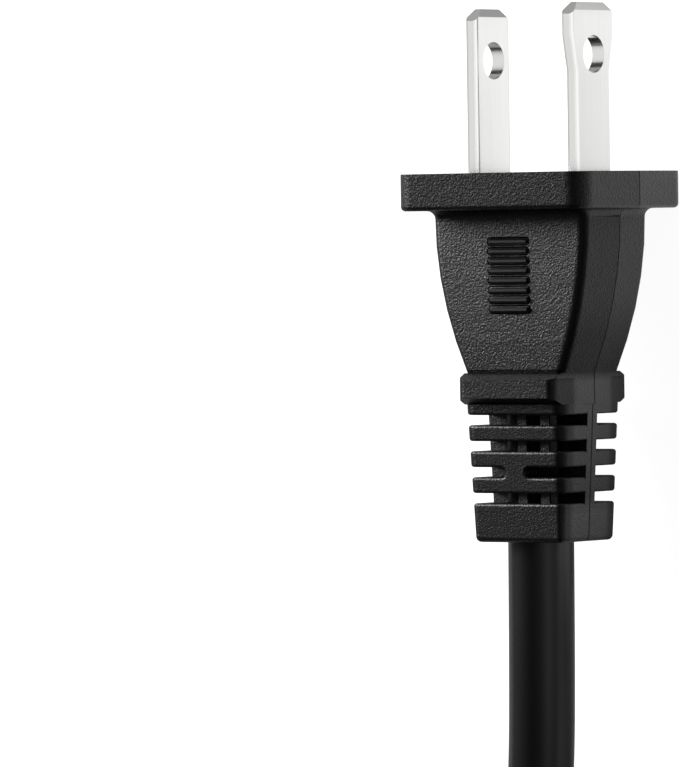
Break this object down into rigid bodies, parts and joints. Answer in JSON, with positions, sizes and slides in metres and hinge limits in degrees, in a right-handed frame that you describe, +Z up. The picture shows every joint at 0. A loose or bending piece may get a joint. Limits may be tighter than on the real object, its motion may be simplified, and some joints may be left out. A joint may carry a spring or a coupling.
{
  "type": "two-blade plug with cord",
  "caption": "Moulded polarised two-blade plug with a flange, grip ridges and a slotted strain relief on a round cord, folded and tied.",
  "frame": {"origin": "middle of the mating face, on the plug's axis; the plug lies on the back of its flange, 9.85 mm below", "axes": "+Y out of the mating face along the blades, +X across the blades towards the wide one, +Z up out of the ridged front"},
  "size_m": [0.0646, 0.2218, 0.0226],
  "materials": {
    "moulding": "grained black moulded PVC",
    "holder": "rigid grey plastic, sealed inside",
    "blade": "nickel-plated brass, smooth",
    "jacket": "smooth black PVC, slightly glossy",
    "line_insulation": "black PVC",
    "neutral_insulation": "white PVC",
    "conductor": "bunched bare copper strands",
    "tie": "black plastic over wire"
  },
  "bodies": {
    "root": {"plug_body": "moulding", "blade_holder": "holder", "line_blade": "blade", "neutral_blade": "blade", "line_insulation_plug_end": "line_insulation", "neutral_insulation_plug_end": "neutral_insulation", "line_conductor_plug_end": "conductor", "neutral_conductor_plug_end": "conductor", "cord_jacket": "jacket", "cord_hank": "jacket", "hank_tie_left": "tie", "hank_tie_right": "tie", "line_insulation_far_end": "line_insulation", "neutral_insulation_far_end": "neutral_insulation", "line_conductor_far_end": "conductor", "neutral_conductor_far_end": "conductor"}
  },
  "joints": []
}
